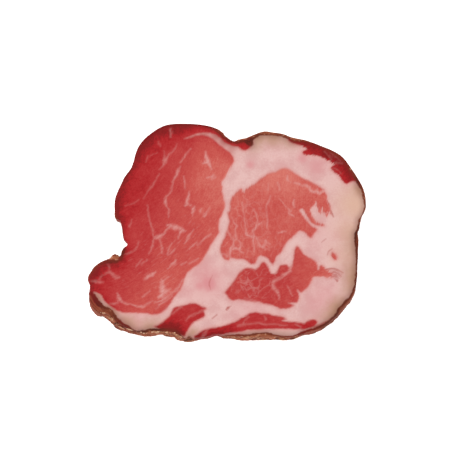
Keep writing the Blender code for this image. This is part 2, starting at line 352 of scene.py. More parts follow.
CURVE_STEPS = 3
THREAD_REACH = 2.5
HAIR_WIDTH = 0.1
NO_THREAD = 9.0
FAR_OUTSIDE = -60.0
MUSCLES = {
    "main": [
        (-50.8, -36.6), (-58.0, -30.0), (-58.0, -16.0), (-48.0, -4.0), (-50.0, 14.0),
        (-42.0, 32.0), (-30.0, 46.0), (-8.0, 48.0), (4.0, 42.0), (9.0, 40.0),
        (10.0, 37.3), (9.7, 35.2), (9.0, 34.0), (7.4, 33.0), (5.7, 33.2), (4.1, 34.4),
        (1.2, 35.0), (-1.2, 36.3), (-3.2, 38.3), (-5.3, 39.6), (-6.9, 39.9), (-9.3, 40.2),
        (-11.7, 39.8), (-13.7, 39.2), (-15.7, 38.4), (-17.3, 37.6), (-14.9, 37.9),
        (-12.9, 38.7), (-10.9, 39.1), (-8.9, 39.1), (-7.3, 38.6), (-5.7, 37.5), (-4.1, 36.2),
        (-2.9, 35.0), (-0.5, 33.1), (1.5, 31.6), (2.7, 29.1), (2.1, 27.5), (0.8, 25.4),
        (-0.5, 23.0), (-1.8, 20.8), (-2.2, 19.8), (-1.9, 16.6), (-1.4, 12.8), (-1.0, 10.4),
        (-1.8, 7.8), (-3.1, 4.8), (-3.5, 2.6), (-3.3, -0.2), (-5.3, -3.2), (-7.1, -6.2),
        (-8.9, -9.4), (-10.9, -12.4), (-13.7, -14.2), (-15.7, -16.2), (-17.1, -19.0),
        (-18.1, -22.2), (-20.1, -24.8), (-22.5, -28.2), (-24.1, -30.4), (-26.9, -32.2),
        (-28.9, -32.6), (-32.5, -32.0), (-36.9, -31.8), (-40.5, -31.8), (-43.7, -30.8),
        (-46.5, -29.0), (-48.5, -27.0), (-49.9, -24.8), (-52.3, -23.6), (-52.4, -24.6),
        (-51.5, -26.8), (-50.5, -29.0), (-49.2, -31.4), (-48.9, -33.6),
    ],
    "eye": [
        (22.9, 25.7), (20.8, 25.0), (18.9, 24.0), (17.1, 23.8), (15.1, 22.7), (13.5, 21.7),
        (11.9, 20.2), (9.8, 18.6), (7.5, 17.4), (6.6, 16.0), (5.6, 17.1), (4.1, 16.3),
        (2.9, 14.8), (1.6, 13.2), (1.1, 11.2), (1.1, 8.6), (0.2, 7.7), (0.5, 6.0), (0.8, 3.8),
        (0.2, 1.4), (-0.9, -1.8), (-2.1, -4.2), (-2.8, -7.1), (-2.0, -9.4), (-0.7, -10.8),
        (0.8, -11.0), (1.6, -10.2), (4.5, -10.6), (6.6, -10.8), (8.2, -11.6), (9.4, -12.7),
        (10.8, -12.5), (11.4, -11.2), (12.7, -9.3), (14.3, -9.6), (16.0, -10.4), (17.0, -11.8),
        (18.0, -12.8), (18.7, -11.5), (19.6, -9.5), (21.2, -8.0), (22.1, -6.7), (22.9, -5.0),
        (24.1, -3.4), (26.2, -1.6), (27.8, 0.2), (29.4, 0.6), (31.0, -0.2), (32.3, -1.7),
        (33.4, -2.1), (33.9, -1.1), (35.5, 1.1), (33.9, 2.2), (32.3, 3.6), (30.6, 5.8),
        (29.4, 7.5), (28.6, 8.8), (30.1, 9.2), (30.9, 8.0), (31.9, 6.0), (33.3, 4.1),
        (35.3, 2.9), (38.4, 2.6), (36.9, 3.5), (35.1, 4.1), (33.9, 5.6), (33.2, 7.4),
        (32.9, 8.8), (33.4, 9.9), (34.4, 10.6), (35.2, 12.4), (35.8, 10.8), (36.2, 9.2),
        (37.0, 7.8), (37.6, 9.4), (38.3, 7.8), (39.4, 6.4), (39.7, 8.2), (40.7, 7.4),
        (40.8, 10.4), (39.9, 11.8), (39.5, 13.8), (39.2, 15.6), (38.6, 17.0), (37.5, 17.8),
        (35.9, 18.6), (33.9, 19.8), (31.4, 21.0), (29.0, 22.2), (26.6, 23.8), (24.9, 24.9),
    ],
    "lower": [
        (-0.8, -23.8), (0.8, -21.8), (2.9, -19.0), (4.7, -16.3), (6.7, -14.6), (8.6, -14.2),
        (11.0, -14.8), (12.3, -14.0), (13.1, -12.7), (14.4, -11.8), (15.5, -12.7),
        (16.4, -14.4), (17.2, -16.2), (18.8, -16.6), (20.0, -15.2), (20.8, -13.3),
        (23.3, -13.0), (24.5, -13.8), (25.7, -12.8), (26.3, -9.9), (26.7, -7.2), (27.8, -5.6),
        (29.0, -7.1), (30.2, -8.7), (32.3, -10.2), (34.7, -11.4), (35.5, -12.8), (36.0, -14.8),
        (36.8, -13.2), (38.0, -13.7), (38.8, -15.0), (40.8, -15.8), (41.8, -17.2),
        (40.4, -17.9), (38.0, -17.6), (35.5, -17.6), (33.9, -17.8), (33.1, -19.3),
        (31.9, -21.6), (30.2, -23.1), (29.0, -23.8), (27.6, -22.9), (28.2, -24.6),
        (28.0, -26.7), (27.0, -27.9), (24.9, -28.2), (26.2, -28.9), (24.5, -29.9),
        (20.8, -30.3), (19.7, -29.7), (18.0, -29.0), (15.1, -28.4), (12.7, -27.7),
        (8.6, -27.3), (4.9, -26.7), (2.1, -26.9), (0.8, -26.3), (0.0, -25.0),
    ],
    "strap": [
        (-10.9, -45.0), (-13.1, -41.6), (-11.7, -40.2), (-10.1, -39.0), (-7.7, -38.1),
        (-4.5, -37.6), (-1.2, -37.0), (2.9, -35.4), (7.0, -33.2), (9.0, -32.2), (11.0, -31.6),
        (13.1, -32.2), (16.0, -32.3), (18.4, -33.0), (21.2, -33.5), (23.1, -34.4),
        (21.5, -35.0), (24.1, -35.4), (27.4, -35.6), (30.2, -36.1), (31.5, -35.2),
        (33.9, -34.6), (35.3, -35.2), (34.9, -36.5), (33.1, -37.5), (30.6, -38.3),
        (26.6, -38.3), (22.5, -38.2), (17.6, -38.2), (12.7, -38.4), (8.6, -38.5), (6.2, -39.1),
        (2.9, -39.6), (-1.2, -40.4), (-3.2, -41.2), (-5.3, -42.2), (-6.9, -45.0),
    ],
    "corner": [
        (-28.3, -37.6), (-27.7, -36.8), (-25.7, -35.8), (-24.1, -34.6), (-22.7, -33.2),
        (-21.9, -31.4), (-20.5, -29.8), (-18.5, -29.3), (-16.0, -28.7), (-13.7, -28.1),
        (-11.7, -28.6), (-10.1, -29.4), (-8.3, -30.2), (-9.0, -31.4), (-8.9, -33.2),
        (-10.5, -34.2), (-12.9, -35.4), (-14.5, -37.0), (-15.9, -39.4), (-16.9, -41.2),
        (-20.0, -40.2), (-24.0, -39.6),
    ],
    "shoulder": [
        (24.1, 41.5), (24.5, 37.3), (25.6, 36.1), (28.2, 35.3), (29.8, 34.9), (31.2, 34.0),
        (31.9, 33.2), (30.2, 32.4), (31.0, 31.2), (33.5, 31.0), (36.4, 30.7), (38.8, 29.6),
        (41.0, 28.5), (42.6, 27.3), (41.3, 25.9), (42.4, 24.4), (44.5, 22.7), (45.8, 20.7),
        (47.4, 19.4), (49.4, 20.3), (50.7, 20.5), (51.9, 19.7), (53.5, 18.5), (58.0, 17.3),
        (56.0, 30.0), (48.0, 40.0), (34.0, 44.0),
    ],
    "islet": [
        (41.6, -8.0), (42.9, -9.0), (43.4, -10.4), (42.6, -11.0), (41.6, -10.2), (41.2, -8.8),
    ],
}

# Which way the fibres of each muscle run, as an angle in degrees. The main muscle's fibres bend
# round a middle that lies off the slice, up to its left.
FIBRE_ANGLES = {"eye": 78.0, "lower": 28.0, "strap": 8.0, "corner": 32.0, "shoulder": 48.0,
                "islet": -50.0}
BEND_MIDDLE = np.array([-70.0, 50.0])
BEND_RADIUS = 75.0
# One muscle's pattern is moved sideways by this much from the next one's, so that none runs on
# into its neighbour.
PATTERN_MOVE = 30.0

# How pale the lean is at some of its places, from 0 for the dark dried rim to 1 for coral: each
# is an x, a y and the paleness. Places between them are blended.
PALENESS_REACH = 7.0
PALENESS = (
    (-41.3, 13.0, .15), (-36.9, 17.0, .27), (-30.9, 33.0, .2), (-16.9, 41.0, .22),
    (-18.9, 29.0, .58), (-6.9, 33.0, .72), (-0.5, 29.0, .95), (-18.9, 13.0, .58),
    (-32.9, 3.0, .42), (-6.9, 13.0, .76), (-5.3, 21.0, .86), (-20.9, -5.0, .6),
    (-38.1, -7.8, .4), (-48.9, -14.2, .14), (-40.9, -19.0, .46), (-36.9, -25.0, .56),
    (-30.9, -29.8, .74), (-16.9, -14.2, .7), (-22.9, -23.0, .78), (-0.9, 36.2, .36),
    (5.0, 35.5, .3), (-51.0, -22.0, .24), (-28.0, 20.0, .34), (-25.0, 38.0, .2),
    (23.1, 22.6, 1.), (11.1, 16.2, .86), (17.1, 9.0, .68), (4.3, 7.0, .76), (7.1, -3.0, .78),
    (29.1, 15.0, .83), (21.1, -1.0, .8), (36.0, 14.0, .8), (32.0, 4.0, .72),
    (7.1, -21.0, .5), (13.9, -23.0, .48), (29.1, -17.0, .62), (37.6, -15.8, .84),
    (23.1, -27.0, .55), (20.0, -20.0, .42), (28.0, -8.5, .56),
    (-6.9, -39.8, .14), (-1.0, -38.2, .34), (9.1, -34.2, .34), (29.1, -37.0, .36),
    (20.0, -36.5, .36), (-16.9, -33.4, .32), (-22.9, -37.4, .05), (-12.0, -31.0, .34),
    (37.1, 33.0, .05), (47.1, 23.0, .2), (30.0, 35.0, .25), (33.0, 32.3, .3),
    (42.4, -9.6, .7),
)

# The marbling: threads and blots of fat that the knife crossed, and the larger lines of the web
# of fat in the eye muscle. Each is a line of points, and each point is an x, a y and half the
# thread's width there, in millimetres.
MARBLING = (
    [(-22.7, 41.4, .3), (-22.6, 40.2, .55), (-22.7, 38.8, .3)],
    [(-27.4, 36.2, .2), (-27.2, 35.6, .45), (-26.8, 34.9, .1)],
    [(-20.2, 35.3, .12), (-21.1, 33.2, .2), (-22.8, 31.6, .2), (-23.9, 30.3, .3),
     (-24.8, 28.6, .65), (-25.5, 26.8, .3), (-27.0, 25.5, .1)],
    [(-25.3, 32.4, .1), (-25.2, 30.8, .2), (-25.3, 29.0, .3)],
    [(-31.7, 30.4, .1), (-31.9, 29.6, .3), (-32.4, 28.6, .1)],
    [(-30.5, 30.9, .08), (-28.2, 31.8, .08)],
    [(-27.4, 23.2, .1), (-28.6, 20.6, .22), (-30.5, 18.0, .22), (-31.9, 16.3, .18),
     (-33.2, 13.8, .1)],
    [(-14.8, 33.4, .1), (-16.7, 30.9, .25), (-18.6, 28.2, .15)],
    [(-19.0, 26.2, .12), (-20.2, 23.2, .5), (-21.5, 20.6, .2), (-22.2, 17.0, .25),
     (-24.0, 14.4, .25), (-24.8, 12.9, .55), (-23.8, 9.8, .12), (-23.2, 8.6, .3),
     (-23.4, 6.4, .1)],
    [(-17.3, 22.1, .12), (-17.0, 20.0, .2), (-16.9, 17.9, .12)],
    [(-15.2, 16.0, .15), (-15.9, 12.6, .5), (-16.7, 11.0, .3)],
    [(-16.2, 11.6, .35), (-14.8, 11.0, .2)],
    [(-13.2, 10.0, .2), (-13.6, 9.0, .55), (-13.9, 6.8, .1)],
    [(-7.1, 9.4, .1), (-8.2, 8.0, .25), (-9.1, 6.8, .3)],
    [(-10.3, 9.2, .1), (-10.6, 8.6, .25)],
    [(-8.7, 32.0, .25), (-8.4, 30.6, .45), (-7.9, 29.2, .8), (-7.5, 27.5, .5), (-6.6, 25.6, .2)],
    [(-9.4, 27.8, .2), (-8.0, 28.0, .4)],
    [(-5.6, 22.8, .25), (-6.5, 22.3, .3), (-7.9, 22.0, .2)],
    [(-5.0, 22.0, .15), (-6.0, 21.4, .2)],
    [(-31.8, 10.6, .2), (-31.2, 7.1, .15), (-30.5, 3.7, .2), (-29.5, 1.0, .2),
     (-29.2, -2.5, .2), (-29.7, -5.9, .25), (-30.9, -8.2, .15)],
    [(-38.0, 4.8, .1), (-38.7, 2.6, .2)],
    [(-40.4, 10.8, .12), (-37.0, 11.7, .12), (-35.5, 12.9, .08)],
    [(-23.4, 2.7, .4), (-21.7, 2.5, .9), (-19.8, 1.7, .9), (-18.0, 1.2, .6), (-17.0, .7, .3)],
    [(-18.0, 1.0, .5), (-19.0, -.7, .35), (-19.4, -2.2, .15)],
    [(-23.5, 1.8, .25), (-25.1, -.4, .3), (-26.6, -1.6, .7), (-27.8, -2.1, .75),
     (-29.0, -2.4, .3)],
    [(-26.4, -3.0, .12), (-26.0, -5.2, .2), (-25.7, -8.0, .2)],
    [(-35.1, -4.0, .1), (-36.4, -6.7, .2), (-38.9, -8.2, .15), (-41.0, -8.8, .1)],
    [(-33.9, -11.0, .1), (-35.1, -12.4, .22), (-35.9, -13.6, .1)],
    [(-32.0, -11.1, .12), (-33.6, -12.8, .12)],
    [(-22.1, -4.6, .1), (-22.9, -6.4, .22), (-23.6, -8.2, .12)],
    [(-20.9, -6.7, .1), (-22.0, -7.9, .2), (-23.2, -9.0, .15)],
    [(-13.6, 1.0, .1), (-15.2, -1.6, .3), (-16.7, -4.2, .15)],
    [(-12.3, -4.4, .1), (-13.6, -5.3, .2), (-14.8, -6.3, .15)],
    [(-6.8, -1.0, .12), (-9.4, -2.9, .25), (-11.4, -5.0, .15)],
    [(-11.7, -10.5, .1), (-13.2, -11.5, .2), (-14.8, -12.4, .1)],
    [(-20.5, -11.3, .2), (-20.9, -12.1, .5), (-22.4, -13.3, .2), (-23.4, -14.2, .1)],
    [(-16.5, -11.9, .1), (-18.0, -12.8, .15)],
    [(-28.6, -16.0, .2), (-29.6, -16.7, .55), (-30.9, -17.2, .55), (-32.6, -18.6, .2)],
    [(-23.5, -17.8, .1), (-24.6, -18.6, .2), (-25.8, -19.4, .25)],
    [(-25.6, -19.4, .5), (-25.7, -21.4, .9), (-25.4, -23.2, 1.3), (-25.8, -24.8, .8),
     (-26.8, -25.6, .3)],
    [(-25.2, -23.6, .8), (-23.6, -23.2, .5), (-22.6, -22.7, .2)],
    [(-30.8, -23.4, .12), (-32.0, -24.4, .2), (-33.2, -25.4, .12)],
    [(-19.7, -23.1, .12), (-22.8, -24.6, .2), (-25.8, -27.0, .3), (-28.2, -27.8, .2)],
    [(-22.0, -25.4, .1), (-24.4, -27.4, .2), (-26.7, -29.0, .2), (-27.9, -30.1, .1)],
    [(-17.5, -18.9, .1), (-19.0, -21.2, .3), (-20.3, -22.7, .15)],
    [(-43.2, -24.6, .25), (-42.7, -26.0, .6), (-41.9, -27.4, .4), (-40.2, -28.0, .25),
     (-37.0, -28.8, .2), (-35.0, -29.4, .3), (-33.2, -29.5, .25), (-31.2, -28.3, .2),
     (-29.7, -27.4, .1)],
    [(-45.8, -28.4, .3), (-44.4, -28.3, .3), (-43.2, -28.0, .1)],
    [(-53.6, -19.4, .2), (-52.0, -19.6, .45), (-50.6, -19.6, .5), (-49.2, -19.7, .2)],
    [(-50.8, -19.0, .3), (-49.6, -17.4, .25), (-48.1, -16.3, .25), (-46.8, -15.9, .4),
     (-45.6, -16.4, .55), (-44.3, -17.6, .6), (-43.0, -17.9, .25)],
    [(-46.9, -15.6, .3), (-46.6, -13.6, .3), (-47.4, -12.4, .15), (-47.9, -11.6, .12)],
    [(24.0, 22.4, .15), (24.2, 21.0, .3), (24.9, 20.2, .1)],
    [(27.0, 19.7, .2), (28.2, 19.4, .35), (29.6, 18.7, .2)],
    [(31.0, 18.9, .2), (32.3, 18.4, .35), (33.2, 16.9, .4), (34.6, 16.1, .4), (35.6, 16.8, .4),
     (36.6, 15.7, .45), (37.6, 16.4, .45), (38.8, 16.6, .4), (40.2, 16.4, .3)],
    [(26.4, 12.6, .25), (26.3, 11.3, .42), (26.5, 10.3, .2)],
    [(24.2, 9.4, .2), (25.0, 8.5, .38), (24.8, 7.6, .25), (26.2, 6.4, .25)],
    [(17.0, 14.4, .12), (16.6, 12.4, .2), (15.5, 10.4, .15), (15.7, 5.8, .15), (15.9, 1.8, .15)],
    [(13.3, 3.6, .15), (12.1, 3.0, .38), (10.9, 1.4, .28), (10.2, .7, .25), (10.3, -1.5, .4),
     (10.4, -3.5, .25), (10.6, -5.7, .22), (10.6, -7.5, .1)],
    [(10.8, 8.9, .08), (11.5, 7.4, .14), (11.9, 5.6, .14), (12.0, 3.6, .2)],
    [(10.2, -1.7, .3), (8.9, -1.5, .25), (7.7, -.7, .32), (7.3, .6, .1)],
    [(10.8, -1.5, .2), (11.9, -2.6, .18), (12.6, -4.7, .18), (13.9, -5.9, .35), (14.9, -4.6, .25),
     (15.1, -3.5, .32), (16.6, -4.4, .2)],
    [(16.4, 19.0, .1), (16.2, 17.2, .1)],
    [(20.1, 19.7, .1), (20.9, 17.3, .1)],
    [(20.9, 13.2, .1), (23.3, 10.4, .12)],
    [(6.0, 11.6, .1), (6.4, 8.3, .15), (7.1, 3.8, .12), (7.6, -.6, .14)],
    [(20.6, -.2, .2), (21.7, .1, .32), (22.8, .3, .15)],
    [(2.0, 5.6, .1), (2.9, 3.4, .2), (3.6, 2.5, .25), (3.1, 1.2, .16), (3.3, -.6, .18),
     (3.6, -2.5, .28), (2.4, -3.9, .25), (2.2, -5.5, .25), (1.1, -7.3, .35), (.9, -9.3, .25),
     (1.3, -10.8, .3)],
    [(1.1, -7.3, .2), (2.8, -6.5, .35), (4.6, -6.6, .38), (5.1, -5.3, .22), (4.9, -3.5, .2),
     (3.7, -2.8, .2)],
    [(4.6, -6.6, .3), (5.1, -7.5, .25), (6.1, -8.1, .15)],
    [(-2.0, -8.8, .15), (-.9, -8.8, .25), (-.1, -9.3, .28), (.8, -9.1, .2)],
    [(-.6, 2.0, .1), (.8, -.6, .15), (2.1, -2.6, .2), (2.3, -3.9, .2)],
    [(25.2, -12.6, .5), (24.7, -15.2, .6), (22.5, -16.9, .45), (20.0, -18.5, .5),
     (18.4, -19.3, .6), (18.0, -21.0, .55), (18.8, -22.6, .6), (20.0, -24.2, .45),
     (20.4, -26.2, .25)],
    [(7.0, -26.3, .12), (11.0, -27.2, .25), (13.9, -28.4, .2)],
    [(23.7, -21.4, .1), (24.7, -23.0, .25), (25.5, -24.8, .12)],
    [(24.5, -28.1, .25), (26.4, -28.3, .3)],
    [(8.4, -22.1, .15), (10.0, -22.0, .25), (12.0, -22.3, .15)],
    [(10.0, -22.0, .2), (10.4, -23.4, .15), (10.8, -24.0, .1)],
    [(5.0, -18.2, .1), (6.6, -20.0, .15), (8.4, -19.6, .15), (9.6, -20.4, .1)],
    [(4.5, -36.9, .3), (6.2, -36.5, .3), (6.6, -35.2, .15), (8.2, -33.6, .15)],
    [(7.0, -36.5, .2), (10.2, -36.1, .2), (12.7, -35.9, .25), (15.1, -36.5, .2),
     (17.6, -36.3, .15), (20.8, -36.7, .2), (23.3, -36.9, .1)],
    [(14.6, -33.4, .1), (14.9, -34.2, .3)],
    [(27.0, -36.5, .15), (28.6, -37.3, .2)],
    [(-10.4, -42.0, .4), (-9.0, -40.0, .4), (-7.9, -38.6, .3)],
    [(-16.1, -34.6, .15), (-14.9, -33.2, .3), (-12.9, -32.5, .25), (-11.3, -32.0, .25),
     (-9.7, -31.2, .25), (-8.3, -30.8, .3)],
    [(-21.6, -32.0, .2), (-19.7, -30.6, .2), (-18.1, -30.0, .2)],
    [(39.1, 32.2, .15), (40.6, 30.6, .15), (41.5, 29.4, .1)],
    [(41.5, 31.8, .1), (43.4, 30.4, .15), (45.1, 29.0, .1)],
    [(43.5, 27.8, .25), (45.5, 27.8, .2)],
    [(42.3, 25.8, .15), (43.8, 25.0, .15), (45.1, 23.8, .1)],
)

# Shreds and blood spots: the other way round, thin tags of lean that lie out in the fat.
SHREDS = (
    [(31.0, -37.9, .2), (35.5, -37.0, .4), (37.1, -36.4, .5), (38.7, -35.6, .45), (39.9, -34.7, .2)],
    [(-0.1, -30.4, .35), (0.3, -29.9, .55), (1.2, -29.4, .1)],
    [(-6.0, -17.4, .05), (-6.9, -19.4, .16), (-7.1, -20.8, .2), (-6.6, -22.6, .05)],
    [(-5.6, -33.9, .2), (-4.4, -32.9, .25)],
    [(37.6, -3.8, .12), (38.8, -2.8, .12)],
    [(38.6, -14.9, .3), (41.2, -14.5, .35), (43.4, -14.9, .3), (45.4, -16.0, .15)],
    [(40.6, -16.6, .3), (42.2, -15.9, .3), (43.6, -16.4, .3), (44.9, -17.4, .15)],
    [(41.4, -17.6, .3), (42.8, -17.4, .35), (43.9, -18.2, .15)],
    [(42.6, -18.6, .2), (43.2, -19.2, .35)],
    [(39.7, -8.7, .15), (40.1, -7.6, .2), (41.2, -6.8, .15)],
    [(40.6, 9.4, .2), (41.4, 7.8, .35), (42.0, 6.4, .25)],
    [(39.8, 12.2, .2), (40.6, 10.8, .3), (40.9, 9.6, .15)],
    [(-6.2, -38.6, .3), (-5.2, -39.0, .3)],
)

# Hues of the fat, which is whitish pink where nothing is named: khaki where it dried against
# the crust, peach on the right, and pink where blood stained it. Each is an x, a y, a reach and
# the most that it counts for.
KHAKI_PLACES = (
    (12.5, 38.0, 6.0, 0.9), (18.0, 37.5, 6.0, 0.9), (24.0, 37.5, 5.0, 0.7),
    (50.0, -6.0, 8.0, 0.7), (49.0, -18.0, 9.0, 1.0), (43.0, -31.0, 8.0, 1.0),
    (34.0, -39.0, 5.0, 0.6), (10.0, -42.0, 9.0, 0.5), (22.0, -41.0, 6.0, 0.4),
    (-15.5, -39.5, 4.0, 0.8), (-13.2, -39.2, 2.4, 1.0), (-30.0, -37.0, 6.0, 0.8),
    (-39.0, -36.0, 6.0, 0.8), (-46.0, -31.0, 5.0, 1.0), (-51.5, -25.5, 4.0, 1.0),
    (52.5, 17.0, 3.0, 0.9), (54.0, 2.0, 5.0, 0.4),
)
PEACH_PLACES = (
    (51.0, 11.0, 8.0, 1.0), (49.0, 1.0, 7.0, 0.75), (50.0, 16.0, 4.0, 0.7), (46.5, -9.0, 7.0, 0.5),
)
PINK_PLACES = (
    (-8.0, -19.0, 9.0, 0.62), (-7.4, -20.4, 4.2, 1.0), (-10.6, -21.4, 3.0, 0.85),
    (10.0, -31.0, 12.0, 0.42), (38.0, -26.0, 9.0, 0.5), (36.0, -2.0, 10.0, 0.36),
    (36.0, 27.0, 6.0, 0.5), (30.0, 30.0, 3.0, 0.65), (9.1, 27.0, 2.0, 0.6),
    (27.0, 1.0, 4.0, 0.42), (-38.0, -35.0, 9.0, 0.45), (-15.0, -24.0, 6.0, 0.4),
    (20.0, 28.0, 8.0, 0.2),
)


def smooth_line(knots, closed=False):
    """The line through these knots, bent smoothly, with a few points between each two."""
    knots = np.array(knots)
    before = np.roll(knots, 1, axis=0)
    after = np.roll(knots, -1, axis=0)
    if not closed:
        before[0], after[-1] = knots[0], knots[-1]
    slope = (after - before) / 2
    points = []
    for count in range(len(knots) if closed else len(knots) - 1):
        to = (count + 1) % len(knots)
        for part in range(CURVE_STEPS):
            t = part / CURVE_STEPS
            points.append(
                knots[count] * (2 * t ** 3 - 3 * t ** 2 + 1)
                + slope[count] * (t ** 3 - 2 * t ** 2 + t)
                + knots[to] * (3 * t ** 2 - 2 * t ** 3)
                + slope[to] * (t ** 3 - t ** 2)
            )
    if not closed:
        points.append(knots[-1])
    return np.array(points)


def threads(lines, spots):
    """For each spot, the sideways offset and distance to the nearest thread, and its half width
    there. The nearest is the one whose edge is nearest, so that blots win over hair-thin tips."""
    offset, distance, best = np.full((3, len(spots)), NO_THREAD)
    width = np.full(len(spots), HAIR_WIDTH)
    for knots in lines:
        line = smooth_line(knots)
        low = line[:, :2].min(axis=0) - THREAD_REACH
        high = line[:, :2].max(axis=0) + THREAD_REACH
        near = np.flatnonzero(np.all((spots > low) & (spots < high), axis=1))
        if not len(near):
            continue
        gap, side, share = along(line[:, :2], spots[near])
        half = np.interp(share, range(len(line)), line[:, 2])
        nearer = gap - half < best[near]
        chosen = near[nearer]
        best[chosen] = (gap - half)[nearer]
        offset[chosen] = side[nearer]
        distance[chosen] = gap[nearer]
        width[chosen] = half[nearer]
    return offset, distance, width


# The outlines were read looking down at a slant, so a place on the wall was seen a little below
# where it is. The lower cut shows the same muscles, a knife's thickness further down.
READ_SHIFT = np.array([0.0, 0.6])
READ_SLANT = 0.12
LOWER_SHIFT = np.array([0.9, -0.6])
cut_spots = spots + READ_SHIFT + on_foot[:, None] * LOWER_SHIFT
cut_spots[on_wall, 1] -= READ_SLANT * (thickness - height)[on_wall]

lean_depth = np.full(len(spots), FAR_OUTSIDE)
fibre_along = np.zeros(len(spots))
fibre_across = np.zeros(len(spots))
muscle_depth = {}
for name, knots in MUSCLES.items():
    muscle_depth[name] = depth_inside(smooth_line(knots, closed=True), cut_spots)
    here = muscle_depth[name] > lean_depth
    lean_depth[here] = muscle_depth[name][here]
    if name == "main":
        from_middle = cut_spots - BEND_MIDDLE
        run = np.arctan2(from_middle[:, 1], from_middle[:, 0]) * BEND_RADIUS
        across = np.hypot(*from_middle.T)
    else:
        angle = math.radians(FIBRE_ANGLES[name])
        run = cut_spots @ np.array([math.cos(angle), math.sin(angle)])
        across = cut_spots @ np.array([-math.sin(angle), math.cos(angle)])
        across += PATTERN_MOVE * len(name)
    fibre_along[here] = run[here]
    fibre_across[here] = across[here]

paleness = np.zeros(len(spots))
weight = np.full(len(spots), 1e-9)
for x, y, pale in PALENESS:
    gap = (cut_spots[:, 0] - x) ** 2 + (cut_spots[:, 1] - y) ** 2
    near = np.exp(-gap / PALENESS_REACH ** 2)
    paleness += near * pale
    weight += near
paleness /= weight

vein_side, vein_far, vein_half = threads(MARBLING, cut_spots)
shred_side, shred_far, shred_half = threads(SHREDS, cut_spots)

# The relief of the cut. Lean shrinks more than fat as it cures, so each muscle lies a little
# lower than the fat round it. The knife left shallow waves, and the edge is rounded off.

LEAN_SINK = 0.26
SINK_FROM = -0.25
SINK_TO = 0.45
SINK_LOST_AT_EDGE = 0.6
EDGE_WIDTH = 1.1
EDGE_DROP = 0.55
EDGE_DROP_LEAST = 0.5
FOOT_LIFT = 0.25
KNIFE_WAVE = 9.0
KNIFE_RIPPLE = 0.05
FIBRE_LENGTH = 4.0
FIBRE_WIDTH = 1.1
FIBRE_RIPPLE = 0.03


def step(low, high, values):
    """A smooth rise from 0 at low to 1 at high."""
    t = np.clip((values - low) / (high - low), 0, 1)
    return t * t * (3 - 2 * t)


near_edge = np.clip(1 - rim / EDGE_WIDTH, 0, 1) ** 2
drop = EDGE_DROP * (EDGE_DROP_LEAST + nearness(spots, ROUGH_PLACES))
sunk = LEAN_SINK * step(SINK_FROM, SINK_TO, lean_depth) * (1 - SINK_LOST_AT_EDGE * near_edge)
ripple = np.array([
    KNIFE_RIPPLE * noise.noise(Vector((x / KNIFE_WAVE, y / KNIFE_WAVE, 3.0)))
    + FIBRE_RIPPLE * noise.noise(Vector((run / FIBRE_LENGTH, across / FIBRE_WIDTH, 5.0)))
    for (x, y), run, across in zip(spots, fibre_along, fibre_across)
])
top_height = thickness - sunk - drop * near_edge + np.minimum(ripple, 0.0)
wall_height = FOOT_LIFT + height / thickness * (thickness - drop - FOOT_LIFT)
points[on_top, 2] = top_height[on_top]
points[on_foot, 2] = FOOT_LIFT * near_edge[on_foot]
points[on_wall, 2] = wall_height[on_wall]
slice_mesh.vertices.foreach_set("co", (points * MM).ravel())
slice_mesh.update()

# The crust, and where it begins. Curing in its casing turned the outside of the meat into a dry
# rind. It shows as a dark line round the cut, with tan and brown layers outside it. The line
# follows this outline, which was read off the photograph like those of the muscles.

